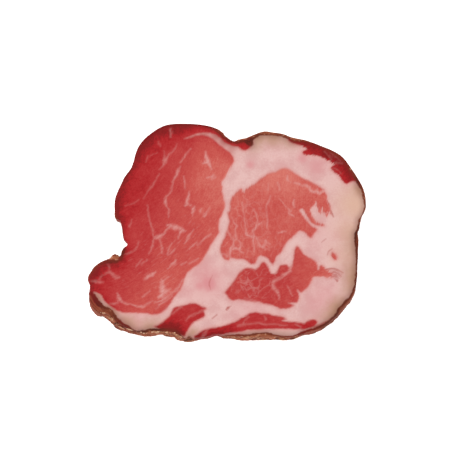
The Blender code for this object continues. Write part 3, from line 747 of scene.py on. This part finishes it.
FLESH = (
    (-41.1, -2.6), (-41.7, 2.6), (-43.3, 4.6), (-44.3, 6.2), (-44.7, 11.0), (-44.2, 14.7),
    (-42.6, 18.4), (-40.0, 22.6), (-37.7, 26.0), (-36.7, 30.5), (-35.1, 34.1), (-31.4, 38.1),
    (-25.8, 42.0), (-22.9, 42.7), (-18.9, 42.9), (-14.9, 43.1), (-10.9, 42.8), (-8.0, 42.2),
    (-5.4, 41.1), (-3.4, 39.7), (-1.8, 38.0), (-0.3, 37.0), (1.2, 36.2), (2.7, 35.8),
    (4.3, 35.8), (5.9, 36.1), (7.5, 36.0), (8.7, 34.8), (9.7, 35.0), (10.1, 37.0), (10.7, 38.0),
    (12.3, 38.8), (13.9, 39.3), (15.5, 39.5), (17.9, 39.2), (21.1, 39.0), (23.1, 38.4),
    (24.7, 37.6), (26.1, 36.6), (28.5, 36.4), (31.5, 36.0), (35.7, 35.0), (39.8, 33.1),
    (43.1, 31.3), (45.7, 29.2), (47.4, 27.0), (49.2, 24.1), (50.7, 22.0), (51.5, 20.6),
    (52.3, 19.0), (53.5, 17.0), (54.3, 13.8), (54.7, 11.0), (54.3, 8.2), (53.3, 6.2),
    (52.3, 4.6), (52.1, 2.6), (51.7, 1.0), (50.7, -0.6), (50.7, -3.0), (50.9, -5.8),
    (51.1, -9.0), (51.1, -13.0), (50.9, -17.0), (50.5, -20.6), (49.5, -23.4), (48.3, -25.8),
    (46.7, -27.2), (45.5, -28.6), (44.3, -29.8), (43.3, -31.4), (42.7, -32.6), (41.1, -34.2),
    (39.5, -35.6), (37.1, -37.0), (34.3, -38.0), (31.5, -38.8), (29.1, -39.6), (27.5, -40.6),
    (25.9, -41.1), (23.9, -41.3), (21.1, -41.2), (18.7, -40.6), (16.3, -40.1), (13.9, -40.0),
    (11.5, -40.2), (9.1, -40.6), (7.1, -40.7), (4.3, -40.5), (1.1, -40.7), (-2.1, -40.9),
    (-4.1, -40.9), (-5.7, -41.3), (-7.7, -41.8), (-9.3, -42.2), (-10.5, -42.2), (-12.1, -42.0),
    (-13.3, -42.2), (-14.9, -41.6), (-16.1, -42.2), (-17.3, -41.8), (-18.1, -40.8),
    (-19.3, -39.4), (-20.9, -38.5), (-22.9, -38.4), (-25.3, -38.2), (-27.7, -38.4),
    (-29.7, -38.4), (-31.3, -38.8), (-32.9, -39.1), (-34.9, -39.1), (-36.7, -38.8),
    (-37.8, -38.1), (-38.8, -37.3), (-40.3, -36.4), (-41.8, -35.3), (-43.0, -34.3),
    (-44.0, -33.0), (-44.9, -31.8), (-46.4, -30.4), (-48.0, -29.9), (-48.8, -29.4),
    (-49.8, -28.3), (-50.8, -27.1), (-51.7, -25.8), (-52.9, -24.5), (-53.7, -23.4),
    (-54.3, -22.6), (-54.4, -21.4), (-54.7, -19.8), (-54.4, -17.6), (-53.6, -16.2),
    (-52.0, -14.3), (-50.7, -13.2), (-49.0, -12.4), (-47.3, -12.2), (-45.3, -12.2),
    (-43.3, -12.0), (-42.1, -11.2), (-41.3, -10.0), (-40.7, -8.2), (-40.5, -6.6), (-40.9, -5.0),
)
# Down the wall, everything further below the cut than this is crust.
WALL_FLESH = 2.6

# How the crust varies along the edge: where its line is darkest, where its outside is tan, and
# where it is maroon, because lean dried there instead of fat. Each is an x, a y and a reach, and
# some end with the most that they count for.
DARK_PLACES = (
    (51.5, -1.5, 4.0, 0.9), (51.5, -6.0, 4.0, 0.6), (51.5, -13.0, 6.0, 0.4),
    (50.0, -21.0, 6.0, 0.4), (46.0, -28.0, 4.0, 0.5), (43.0, -33.0, 4.0, 0.6),
    (38.0, -37.0, 4.0, 0.5), (8.6, 36.3, 2.4), (5.0, 37.0, 2.0, 0.6), (-20.0, -39.5, 4.0, 0.9),
    (-27.0, -38.8, 4.0), (-34.0, -40.0, 4.0, 0.8), (-40.0, -38.5, 4.0, 0.6),
    (-51.0, -29.5, 4.0, 0.7), (8.0, -41.0, 10.0, 0.2), (-45.5, -35.0, 2.0),
    (-10.0, -42.4, 2.5, 0.8), (-41.5, -8.0, 3.0, 0.7), (12.0, 39.5, 2.0, 0.5),
    (52.0, 19.5, 2.5, 0.8), (-46.0, -12.6, 3.0, 0.5),
)
TAN_PLACES = (
    (-45.5, -34.5, 3.0, 0.8), (-38.0, -40.5, 6.0, 0.35), (-26.0, -41.0, 8.0, 0.8),
    (-17.0, -42.5, 5.0), (7.0, -42.5, 9.0), (19.0, -43.0, 7.0, 0.8), (-45.0, -10.0, 3.2),
    (55.5, 10.0, 6.0), (52.5, 3.0, 4.0, 0.6), (-44.5, 5.0, 2.5, 0.8), (-52.0, -31.0, 3.0, 0.3),
    (-53.5, -14.0, 5.0, 0.8), (17.0, 40.5, 10.0, 0.9), (52.0, 23.0, 5.0, 0.9),
    (5.0, 38.5, 3.5, 0.7), (-3.0, 41.0, 4.0, 0.5), (27.0, 38.0, 4.0, 0.6), (44.0, 34.0, 10.0, 0.7),
)
MAROON_PLACES = (
    (-52.5, -28.0, 3.6), (-54.0, -24.0, 3.0), (-30.0, 38.0, 14.0), (-10.0, 42.0, 12.0),
    (-43.0, 12.0, 9.0), (44.0, 32.0, 12.0, 0.6), (-54.0, -18.0, 6.0), (-9.0, -42.0, 3.5),
    (-41.0, -38.0, 4.0, 0.8), (-46.0, -13.0, 5.0), (30.0, -40.0, 7.0, 0.7), (5.0, -41.0, 3.0, 0.6),
    (8.0, 36.0, 3.0, 0.6),
)

# How the flesh varies: seams where a thin veil of lean shows through the fat, the fine web of fat
# in the eye and lower muscles, the short flecks of fat in the main muscle, and the ends of
# muscles, whose edges feather out into the fat.
SEAM_PLACES = (
    (-18.0, 37.6, 3.0), (-14.0, 38.4, 3.0), (-9.5, 39.6, 3.0), (-5.0, 38.4, 3.0),
    (-1.6, 36.0, 3.0, 0.9), (1.6, 33.6, 2.6, 0.7), (-51.0, -19.6, 2.0, 0.8),
)
WEB_PLACES = (
    (1.5, -4.0, 5.0, 0.35), (5.0, -7.0, 6.0, 0.35), (10.0, -2.0, 6.0, 0.4), (16.0, -5.0, 5.0, 0.4),
    (8.0, 8.0, 7.0, 0.45), (9.0, -21.0, 6.0, 0.9), (17.0, -19.0, 4.0, 0.5),
)
WEB_LEAST = 0.1
LOWER_WEB_SHARE = 0.8
FLECK_PLACES = (
    (-24.0, -8.0, 11.0), (-22.0, -22.0, 10.0, 0.8), (-11.0, 1.0, 9.0, 0.9),
    (-35.0, -16.0, 9.0, 0.6), (-14.0, 14.0, 8.0, 0.35),
)
FEATHER_PLACES = (
    (37.0, 9.0, 6.0), (41.0, -16.5, 4.0), (5.0, 18.0, 7.0), (43.0, 26.0, 5.0, 0.8),
    (33.0, 32.5, 4.0, 0.6),
)


def keep_on_mesh(name, *columns):
    """Three numbers for each point of the slice, kept under this name for its material."""
    layer = slice_mesh.attributes.new(name, "FLOAT_VECTOR", "POINT")
    layer.data.foreach_set("vector", np.column_stack(columns).astype(np.float32).ravel())


crust_depth = -depth_inside(smooth_line(FLESH, closed=True), cut_spots)
crust_depth[on_wall] = np.maximum(crust_depth, thickness - height - WALL_FLESH)[on_wall]
keep_on_mesh("flesh", lean_depth, crust_depth, paleness)
keep_on_mesh("thread", vein_side, vein_far, vein_half)
keep_on_mesh("shred", shred_side, shred_far, shred_half)
keep_on_mesh("fibre", fibre_along, fibre_across, nearness(cut_spots, SEAM_PLACES))
keep_on_mesh("fat_hue", nearness(cut_spots, KHAKI_PLACES), nearness(cut_spots, PEACH_PLACES),
             nearness(cut_spots, PINK_PLACES))
keep_on_mesh("crust_hue", nearness(spots, DARK_PLACES), nearness(spots, TAN_PLACES),
             nearness(spots, MAROON_PLACES))
in_eye = step(-1, 1, muscle_depth["eye"])
in_lower = step(-1, 1, muscle_depth["lower"])
webbed = WEB_LEAST + (1 - WEB_LEAST) * nearness(cut_spots, WEB_PLACES)
webbed *= np.maximum(in_eye, LOWER_WEB_SHARE * in_lower)
keep_on_mesh("webbing", webbed, nearness(spots, FEATHER_PLACES), nearness(cut_spots, FLECK_PLACES))

# The finish: cured pork, cut and dry to the touch. The lean is deep red, the fat is waxy and
# whitish pink, and the crust is matt, brown and crackled. The patterns of the lean follow its
# fibres, and every pattern is sized by how many of its grains go to a millimetre.

# fat cells in specks 0.4 mm across, a grain of 0.7 mm, the tatters of torn edges at 1.7 mm, clouds
# of 7 mm, and a drift of 3 mm that bends the web, whose cells are 4.5 mm along and 3 mm across
SPECKS_PER_MM = 2.6
GRAINS_PER_MM = 1.4
TATTERS_PER_MM = 0.6
CLOUDS_PER_MM = 0.14
DRIFTS_PER_MM = 0.3
WEB_CELLS_PER_MM = (0.22, 0.31, 1.0)
# fibres and bundles of them are 3 mm long, and 0.5 mm and 0.8 mm across
FIBRES_PER_MM = (0.3, 1.9, 1.0)
BUNDLES_PER_MM = (0.3, 1.3, 1.0)
# scabs of crust are 1.8 mm wide and 1.3 mm high, and its layers 8 mm long, 0.7 mm deep, 2 mm high
SCABS_PER_MM = (0.55, 0.55, 0.8)
LAYERS_ALONG_PER_MM = 0.12
LAYERS_DEEP_PER_MM = 1.5
LAYERS_UP_PER_MM = 0.5
BUMP_HEIGHT = 0.1

LEAN_STOPS = ((0.0, "#820D0E"), (0.2, "#AC181D"), (0.45, "#B83736"), (0.72, "#C6524A"),
              (1.0, "#D67669"))
THREAD_FAT = linear("#DB9993")
FAT_WHITE = linear("#E4BCB7")
FAT_GREY = linear("#D5A5A2")
# the pink of stained fat, also used for the painted red glow along the lean's edge
FAT_STAIN_AND_GLOW = linear("#D8938D")
FAT_VEIL = linear("#BC726C")
FAT_PINK = linear("#D88E91")
FAT_KHAKI = linear("#B98E74")
FAT_PEACH = linear("#DCB49E")
BLOOD = linear("#AE4A42")
CRUST_BLACK = linear("#40180D")
CRUST_BROWN = linear("#7E3B26")
CRUST_DARK = linear("#6C2B18")
CRUST_TAN = linear("#A85E3F")
CRUST_PALE = linear("#D6A284")
CRUST_MAROON = linear("#7C1011")
CRUST_RED = linear("#8A2420")
SMOOTH = {"interpolation_type": "SMOOTHSTEP"}
COLOUR = {"out": 2, "data_type": "RGBA"}

cured_pork, tree, shader = new_material("cured_pork_cut_with_dried_crust")
place = node("VectorMath", {0: node("TexCoord", out="Object"), 3: 1 / MM}, operation="SCALE")
kept = {}
for name in ("flesh", "thread", "shred", "fibre", "fat_hue", "crust_hue", "webbing"):
    numbers = node("Attribute", out="Vector", attribute_name=name)
    kept[name] = node("SeparateXYZ", (numbers,)).node.outputs
depth, into_crust, pale_at = kept["flesh"]
thread_side, thread_far, thread_half = kept["thread"]
shred_side, shred_far, shred_half = kept["shred"]
run_at, across_at, seam_at = kept["fibre"]
khaki_at, peach_at, pink_at = kept["fat_hue"]
dark_at, tan_at, maroon_at = kept["crust_hue"]
web_at, feather_at, fleck_at = kept["webbing"]
level = node("SeparateXYZ", (place,), out=2)
fibres = node("CombineXYZ", (run_at, across_at))

# noise from 0 to 1: four that lie evenly in the flesh, and two that run with the fibres
speck = node("TexNoise", {0: place, "Scale": SPECKS_PER_MM, "Detail": 2.0, "Roughness": 0.6})
fine = node("TexNoise", {0: place, "Scale": GRAINS_PER_MM, "Detail": 3.0, "Roughness": 0.6})
ragged = node("TexNoise", {0: place, "Scale": TATTERS_PER_MM, "Detail": 3.0})
cloudy = node("TexNoise", {0: place, "Scale": CLOUDS_PER_MM, "Detail": 3.0})
streak = node("TexNoise", {
    0: node("Mapping", {0: fibres, "Scale": FIBRES_PER_MM}), "Scale": 1.0, "Detail": 3.0,
    "Roughness": 0.6,
})
bundle = node("TexNoise", {
    0: node("Mapping", {0: fibres, "Scale": BUNDLES_PER_MM}), "Scale": 1.0, "Detail": 2.0,
})

# where the lean ends: its edge is ragged, and feathers out along the fibres in some places
teeth_size = node("Math", (feather_at, 3.4, 0.7), operation="MULTIPLY_ADD")
teeth = node("Math", (node("Math", (streak, 0.5), operation="SUBTRACT"), teeth_size),
             operation="MULTIPLY")
ragged_edge = node("Math", (ragged, 0.8, -0.4), operation="MULTIPLY_ADD")
edge_at = node("Math", (depth, node("Math", (teeth, ragged_edge), operation="ADD")),
               operation="ADD")
lean_share = node("MapRange", (edge_at, -0.62, 0.56), **SMOOTH)

# how far it is to the nearest thread of fat and to the nearest shred, whose edges waver a little
bent_side = node("Math", (ragged, 1.3, node("Math", (thread_side, -0.65), operation="ADD")),
                 operation="MULTIPLY_ADD")
gaps = []
for side, far, waver in ((bent_side, thread_far, 0.9), (shred_side, shred_far, 0.7)):
    straight_gap = node("Math", (
        node("Math", (side,), operation="ABSOLUTE"),
        node("Math", (far, 0.3), operation="SUBTRACT"),
    ), operation="MAXIMUM")
    wavering = node("Math", (fine, waver, -waver / 2), operation="MULTIPLY_ADD")
    gaps.append(node("Math", (straight_gap, wavering), operation="ADD"))
thread_gap, shred_gap = gaps

# threads of fat in the lean, which are fainter where the lean is dark
thread_strength = node("Math", (
    node("MapRange", (thread_half, 0.08, 0.5, 0.4, 0.76), **SMOOTH),
    node("MapRange", (bundle, 0.3, 0.62, 0.5, 1.05), **SMOOTH),
), operation="MULTIPLY")
thread_strength = node("Math", (
    thread_strength, node("MapRange", (pale_at, 0.15, 0.85, 0.4, 1.25), **SMOOTH),
), operation="MULTIPLY")
thread_share = node("MapRange", (
    thread_gap,
    node("Math", (thread_half, 0.2, -0.25), operation="MULTIPLY_ADD"),
    node("Math", (thread_half, 1.3, 0.6), operation="MULTIPLY_ADD"),
    thread_strength,
    0.0,
), **SMOOTH)

# short flecks of fat along the fibres, and a fine web of it in two muscles
fleck_share = node("Math", (
    node("MapRange", (bundle, 0.54, 0.78), **SMOOTH),
    node("Math", (fleck_at, 0.34), operation="MULTIPLY"),
), operation="MULTIPLY")
drift = node("TexNoise", {0: place, "Scale": DRIFTS_PER_MM, "Detail": 1.0}, out="Color")
drifting = node("VectorMath", {0: drift, 1: (1.5, 1.5, 1.5), 2: fibres}, operation="MULTIPLY_ADD")
cells = node("TexVoronoi", {
    "Vector": node("Mapping", {0: drifting, "Scale": WEB_CELLS_PER_MM}), "Scale": 1.0,
}, out="Distance", feature="DISTANCE_TO_EDGE")
web_share = node("Math", (
    node("MapRange", (cells, 0.0, 0.12, 0.58, 0.0), **SMOOTH),
    node("Math", (web_at, node("MapRange", (ragged, 0.36, 0.56, 0.15, 1.0), **SMOOTH)),
         operation="MULTIPLY"),
), operation="MULTIPLY")
marbling = node("Math", (
    thread_share, node("Math", (fleck_share, web_share), operation="MAXIMUM"),
), operation="MAXIMUM")

# the red of the lean, which is darkest where it dried at the rim
tone = pale_at
for pattern, share in ((streak, 0.3), (cloudy, 0.3), (fine, 0.3), (ragged, 0.24), (speck, 0.26)):
    lowered = node("Math", (tone, -share / 2), operation="ADD")
    tone = node("Math", (pattern, share, lowered), operation="MULTIPLY_ADD")
tone = node("Math", (tone, node("MapRange", (into_crust, -5.0, -0.2, 0.0, 0.2), **SMOOTH)),
            operation="SUBTRACT")
red_of_lean = node("ValToRGB", (tone,))
stops = red_of_lean.node.color_ramp.elements
while len(stops) < len(LEAN_STOPS):
    stops.new(0.5)
for stop, (position, colour) in zip(stops, LEAN_STOPS):
    stop.position = position
    stop.color = linear(colour)
lean_colour = node("Mix", {0: marbling, 6: red_of_lean, 7: THREAD_FAT}, **COLOUR)

# the fat, from whitish pink to its other hues, and pink next to the lean that it touches: partly a
# real stain, partly painted light, the red glow that the lean sends into the fat
pink_share = node("MapRange", (
    node("Math", (cloudy, 0.5, node("Math", (pink_at, -0.25), operation="ADD")),
         operation="MULTIPLY_ADD"), 0.0, 1.0,
), **SMOOTH)
khaki_share = node("Math", (
    khaki_at,
    node("MapRange", (
        node("Math", (ragged, 3.0, node("Math", (into_crust, -1.5), operation="ADD")),
             operation="MULTIPLY_ADD"), -8.0, -1.0,
    ), **SMOOTH),
), operation="MULTIPLY")
grey_share = node("Math", (cloudy, 0.7, node("Math", (fine, 0.3), operation="MULTIPLY")),
                  operation="MULTIPLY_ADD")
grey_share = node("MapRange", (grey_share, 0.4, 0.62, 0.0, 0.75), **SMOOTH)
# a pink band in the fat along the lean's edge: partly real stain, partly painted light bleeding from
# the red lean into the fat
stain_and_painted_glow_share = node("MapRange", (depth, -1.7, 0.1, 0.0, 0.55), **SMOOTH)
veil_share = node("Math", (seam_at, 0.95), operation="MULTIPLY")
mottle_share = node("Math", (fine, 0.3, node("Math", (speck, 0.25), operation="MULTIPLY")),
                    operation="MULTIPLY_ADD")
mottle_share = node("MapRange", (mottle_share, 0.17, 0.4, 0.0, 0.22), **SMOOTH)
shred_share = node("MapRange", (
    shred_gap,
    node("Math", (shred_half, 0.1), operation="MULTIPLY"),
    node("Math", (shred_half, 1.2, 0.32), operation="MULTIPLY_ADD"),
    node("MapRange", (shred_half, 0.05, 0.5, 0.25, 0.85)),
    0.0,
), **SMOOTH)
fat_colour = FAT_WHITE
for share, hue in (
    (grey_share, FAT_GREY), (pink_share, FAT_PINK), (peach_at, FAT_PEACH),
    (khaki_share, FAT_KHAKI), (stain_and_painted_glow_share, FAT_STAIN_AND_GLOW), (veil_share, FAT_VEIL),
    (mottle_share, FAT_STAIN_AND_GLOW), (shred_share, BLOOD),
):
    fat_colour = node("Mix", {0: share, 6: fat_colour, 7: hue}, **COLOUR)
flesh_colour = node("Mix", {0: lean_share, 6: fat_colour, 7: lean_colour}, **COLOUR)

# the crust: a dark line where the cut flesh ends, which shades off into the flesh, and outside it
# thin layers that run round the slice, brown or tan, with paler scabs
wavy_depth = node("Math", (into_crust, ragged), operation="ADD")
layer_place = node("CombineXYZ", (
    node("Math", (run_at, LAYERS_ALONG_PER_MM), operation="MULTIPLY"),
    node("Math", (wavy_depth, LAYERS_DEEP_PER_MM), operation="MULTIPLY"),
    node("Math", (level, LAYERS_UP_PER_MM), operation="MULTIPLY"),
))
layers = node("TexNoise", {0: layer_place, "Scale": 1.0, "Detail": 3.0, "Roughness": 0.6})
scabs = node("TexNoise", {
    0: node("Mapping", {0: place, "Scale": SCABS_PER_MM}), "Scale": 1.0, "Detail": 4.0,
    "Roughness": 0.65,
})
torn_depth = node("Math", (node("Math", (scabs, 0.5), operation="SUBTRACT"), 1.5, into_crust),
                  operation="MULTIPLY_ADD")
torn_depth = node("Math", (
    torn_depth, node("MapRange", (lean_share, 0.0, 1.0, 0.35, 0.0)),
), operation="ADD")
crust_share = node("MapRange", (torn_depth, -0.35, 0.25), **SMOOTH)
line_width = node("Math", (
    dark_at, 0.9, node("Math", (maroon_at, 0.7, 0.2), operation="MULTIPLY_ADD"),
), operation="MULTIPLY_ADD")
outer_share = node("MapRange", (
    torn_depth, line_width, node("Math", (line_width, 0.5), operation="ADD"),
), **SMOOTH)
wall_share = node("MapRange", (
    node("Math", (scabs, 5.0, level), operation="MULTIPLY_ADD"), 7.2, 9.4, 1.0, 0.0,
), **SMOOTH)
outer_share = node("Math", (outer_share, wall_share), operation="MAXIMUM")
over_lean = node("Math", (
    maroon_at, node("Math", (lean_share, 0.85), operation="MULTIPLY"),
), operation="MAXIMUM")
brown_share = node("Math", (tan_at, 0.6), operation="MULTIPLY")
black_share = node("Math", (
    dark_at, node("MapRange", (layers, 0.42, 0.56, 0.9, 0.35), **SMOOTH),
), operation="MULTIPLY")
line_colour = CRUST_DARK
for share, hue in (
    (over_lean, CRUST_MAROON), (brown_share, CRUST_BROWN), (black_share, CRUST_BLACK),
):
    line_colour = node("Mix", {0: share, 6: line_colour, 7: hue}, **COLOUR)
red_share = node("Math", (maroon_at, 0.5), operation="MULTIPLY")
dark_share = node("MapRange", (layers, 0.38, 0.5, 0.8, 0.0), **SMOOTH)
tan_share = node("Math", (
    node("MapRange", (layers, 0.42, 0.58), **SMOOTH),
    node("Math", (tan_at, 0.8, 0.15), operation="MULTIPLY_ADD"),
), operation="MULTIPLY")
pale_share = node("Math", (
    node("MapRange", (scabs, 0.52, 0.68, 0.0, 0.9), **SMOOTH), tan_at,
), operation="MULTIPLY")
outer_colour = CRUST_BROWN
for share, hue in (
    (red_share, CRUST_RED), (dark_share, CRUST_DARK), (tan_share, CRUST_TAN),
    (pale_share, CRUST_PALE),
):
    outer_colour = node("Mix", {0: share, 6: outer_colour, 7: hue}, **COLOUR)
crust_colour = node("Mix", {0: outer_share, 6: line_colour, 7: outer_colour}, **COLOUR)
shade_from = node("MapRange", (lean_share, 0.0, 1.0, -3.0, -1.4))
shade_share = node("MapRange", (into_crust, shade_from, 0.2, 0.0, 0.45), **SMOOTH)
flesh_colour = node("Mix", {0: shade_share, 6: flesh_colour, 7: line_colour}, **COLOUR)
whole_colour = node("Mix", {0: crust_share, 6: flesh_colour, 7: crust_colour}, **COLOUR)
tree.links.new(whole_colour, shader.inputs["Base Color"])

# the waxy fat has a faint sheen, the lean is duller, and the crust is matt
rough_flesh = node("MapRange", (lean_share, 0.0, 1.0, 0.45, 0.55))
rough_whole = node("MapRange", (crust_share, 0.0, 1.0, rough_flesh, 0.7))
tree.links.new(rough_whole, shader.inputs["Roughness"])
shader.inputs["Specular IOR Level"].default_value = 0.14
relief = node("Math", (streak, 0.6, node("Math", (fine, 0.4), operation="MULTIPLY")),
              operation="MULTIPLY_ADD")
relief = node("Math", (node("Math", (crust_share, 4.0), operation="MULTIPLY"), scabs, relief),
              operation="MULTIPLY_ADD")
bump = node("Bump", {"Strength": 0.4, "Distance": BUMP_HEIGHT * MM, "Height": relief})
tree.links.new(bump, shader.inputs["Normal"])

slice_mesh.materials.append(cured_pork)
slice_mesh.polygons.foreach_set("use_smooth", [True] * len(slice_mesh.polygons))
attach(coppa_slice, "root")
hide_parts("slice")

# Crumbs and flakes of the crust. The casing and the spices dried into pale grains, which the knife
# left standing along the lower left edge, and into thin flakes that lie along the front wall.
# Each clump is an x, a y, its reach along the edge and across it, a count, a size and a shade.

CLUMPS = (
    (-47.7, -32.4, 1.3, 0.5, 10, 0.42, 0.95), (-45.2, -34.6, 1.5, 1.2, 16, 0.55, 0.55),
    (-43.5, -37.0, 1.6, 0.5, 8, 0.45, 0.3), (-38.0, -40.4, 2.4, 0.3, 6, 0.35, 0.4),
    (-32.6, -40.4, 1.2, 0.3, 6, 0.36, 0.85), (-27.9, -39.8, 1.9, 0.45, 16, 0.46, 0.85),
    (-23.9, -40.3, 1.5, 0.4, 10, 0.42, 0.7), (-20.1, -40.0, 1.1, 0.9, 14, 0.55, 0.95),
    (-18.6, -41.6, 1.6, 0.8, 10, 0.5, 0.6), (6.0, 37.0, 2.6, 0.3, 18, 0.42, 0.55),
    (9.2, 36.4, 0.8, 0.5, 6, 0.36, 0.3), (-45.0, -10.4, 1.4, 0.6, 22, 0.6, 0.6),
    (-41.6, -6.5, 0.5, 2.2, 9, 0.4, 0.35),
)
CRUMB_LEVEL = 6.0
CRUMB_SINK = 0.2
CRUMB_DROP = 0.8
CRUMB_DROP_MOST = 1.5
CRUMB_SPREAD = (0.55, 1.15)
CRUMB_SHADES = 0.2
LUMP_WAVES = 1.9
LUMP_DEPTH = 0.5
# Each run of flakes goes from an x to an x near a y, and has a count and a shade.
FLAKE_RUNS = ((-2.0, 30.0, -42.0, 26, 0.5), (-30.0, -14.0, -41.8, 12, 0.45),
              (30.0, 44.0, -38.5, 8, 0.2), (-47.0, -36.0, -38.6, 8, 0.5))
FLAKE_LEVELS = (2.4, 7.2)
FLAKE_LENGTHS = (0.8, 2.2)
FLAKE_HEIGHTS = (0.12, 0.26)
FLAKE_DEPTH = 0.3
FLAKE_SINK = 0.08
FLAKE_SHADES = 0.25
chance = random.Random(17)


def lump(shape, middle, way, sizes, shade, layer):
    """A small rough lump with its long side along this way."""
    turn = Vector((way[0], way[1], 0.0)).to_track_quat("X", "Z").to_matrix().to_4x4()
    size = Matrix.Diagonal((*sizes, 1.0))
    made = bmesh.ops.create_icosphere(
        shape, subdivisions=1, radius=1.0, matrix=Matrix.Translation(middle) @ turn @ size
    )
    for vertex in made["verts"]:
        rough = noise.noise(vertex.co * LUMP_WAVES + Vector((shade * 9.0, 0.0, 0.0)))
        vertex.co = middle + (vertex.co - middle) * (1.0 + LUMP_DEPTH * rough)
        vertex[layer] = shade


def skin_at(x, y, level):
    """The slice's edge nearest to this place: the point of its wall at this level, the way along
    the edge there, and the way out of it."""
    _, _, share = along(closed_outline, np.array([[x, y]]))
    count = min(int(share[0]), len(outline) - 1)
    way = closed_outline[count + 1] - closed_outline[count]
    inner = Vector((*closed_outline[count], level))
    outward = Vector((way[1], -way[0], 0.0)).normalized()
    hit = solid_tree.ray_cast(inner - outward * RAY_START, outward, RAY_REACH)[0]
    return (hit if hit is not None else inner), way, outward


shape = bmesh.new()
shade_layer = shape.verts.layers.float.new("shade")
for x, y, reach_x, reach_y, count, size, shade in CLUMPS:
    for _ in range(count):
        at = Vector((x + chance.gauss(0, reach_x / 2), y + chance.gauss(0, reach_y / 2), 0.0))
        skin, way, outward = skin_at(at.x, at.y, CRUMB_LEVEL)
        beyond = max((at.xy - skin.xy).dot(outward.xy) + CRUMB_SINK, 0.0)
        at -= outward * beyond
        at.z = thickness - CRUMB_DROP - min(beyond, CRUMB_DROP_MOST)
        big = size * chance.uniform(*CRUMB_SPREAD)
        own = min(max(shade + chance.gauss(0, CRUMB_SHADES), 0.0), 1.0)
        lump(shape, at, way, (big, big * 0.75, big * 0.7), own, shade_layer)
for x0, x1, y, count, shade in FLAKE_RUNS:
    for _ in range(count):
        height_up = chance.uniform(*FLAKE_LEVELS)
        skin, way, outward = skin_at(chance.uniform(x0, x1), y, height_up)
        own = min(max(shade + chance.gauss(0, FLAKE_SHADES), 0.0), 1.0)
        sizes = (chance.uniform(*FLAKE_LENGTHS), FLAKE_DEPTH, chance.uniform(*FLAKE_HEIGHTS))
        lump(shape, skin - outward * FLAKE_SINK, way, sizes, own, shade_layer)
bmesh.ops.scale(shape, vec=(MM, MM, MM), verts=shape.verts)
bmesh.ops.recalc_face_normals(shape, faces=shape.faces)
crust_crumbs = put_in_scene(shape, "crust_crumbs")
crumb_mesh = crust_crumbs.data
crumb_mesh.polygons.foreach_set("use_smooth", [True] * len(crumb_mesh.polygons))

# Dried casing and ground spice: matt, and each grain is a shade of its own, from brown to straw.
CRUMB_STOPS = ((0.0, "#3A1D15"), (0.3, "#7E4630"), (0.6, "#B77A58"), (1.0, "#DDB08F"))
CRUMB_GRAINS_PER_MM = 2.2
dried_casing, tree, shader = new_material("dried_casing_and_spice_crumbs")
place = node("VectorMath", {0: node("TexCoord", out="Object"), 3: 1 / MM}, operation="SCALE")
grain = node("TexNoise", {0: place, "Scale": CRUMB_GRAINS_PER_MM, "Detail": 3.0})
own_shade = node("Attribute", out="Fac", attribute_name="shade")
lowered = node("Math", (own_shade, -0.35), operation="ADD")
crumb_colour = node("ValToRGB", (node("Math", (grain, 0.7, lowered), operation="MULTIPLY_ADD"),))
stops = crumb_colour.node.color_ramp.elements
while len(stops) < len(CRUMB_STOPS):
    stops.new(0.5)
for stop, (position, colour) in zip(stops, CRUMB_STOPS):
    stop.position = position
    stop.color = linear(colour)
tree.links.new(crumb_colour, shader.inputs["Base Color"])
tree.links.new(node("MapRange", (grain, 0.3, 0.7, 0.75, 0.55)), shader.inputs["Roughness"])
shader.inputs["Specular IOR Level"].default_value = 0.3
bump = node("Bump", {"Strength": 0.4, "Distance": BUMP_HEIGHT * MM, "Height": grain})
tree.links.new(bump, shader.inputs["Normal"])
crumb_mesh.materials.append(dried_casing)
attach(crust_crumbs, "root")
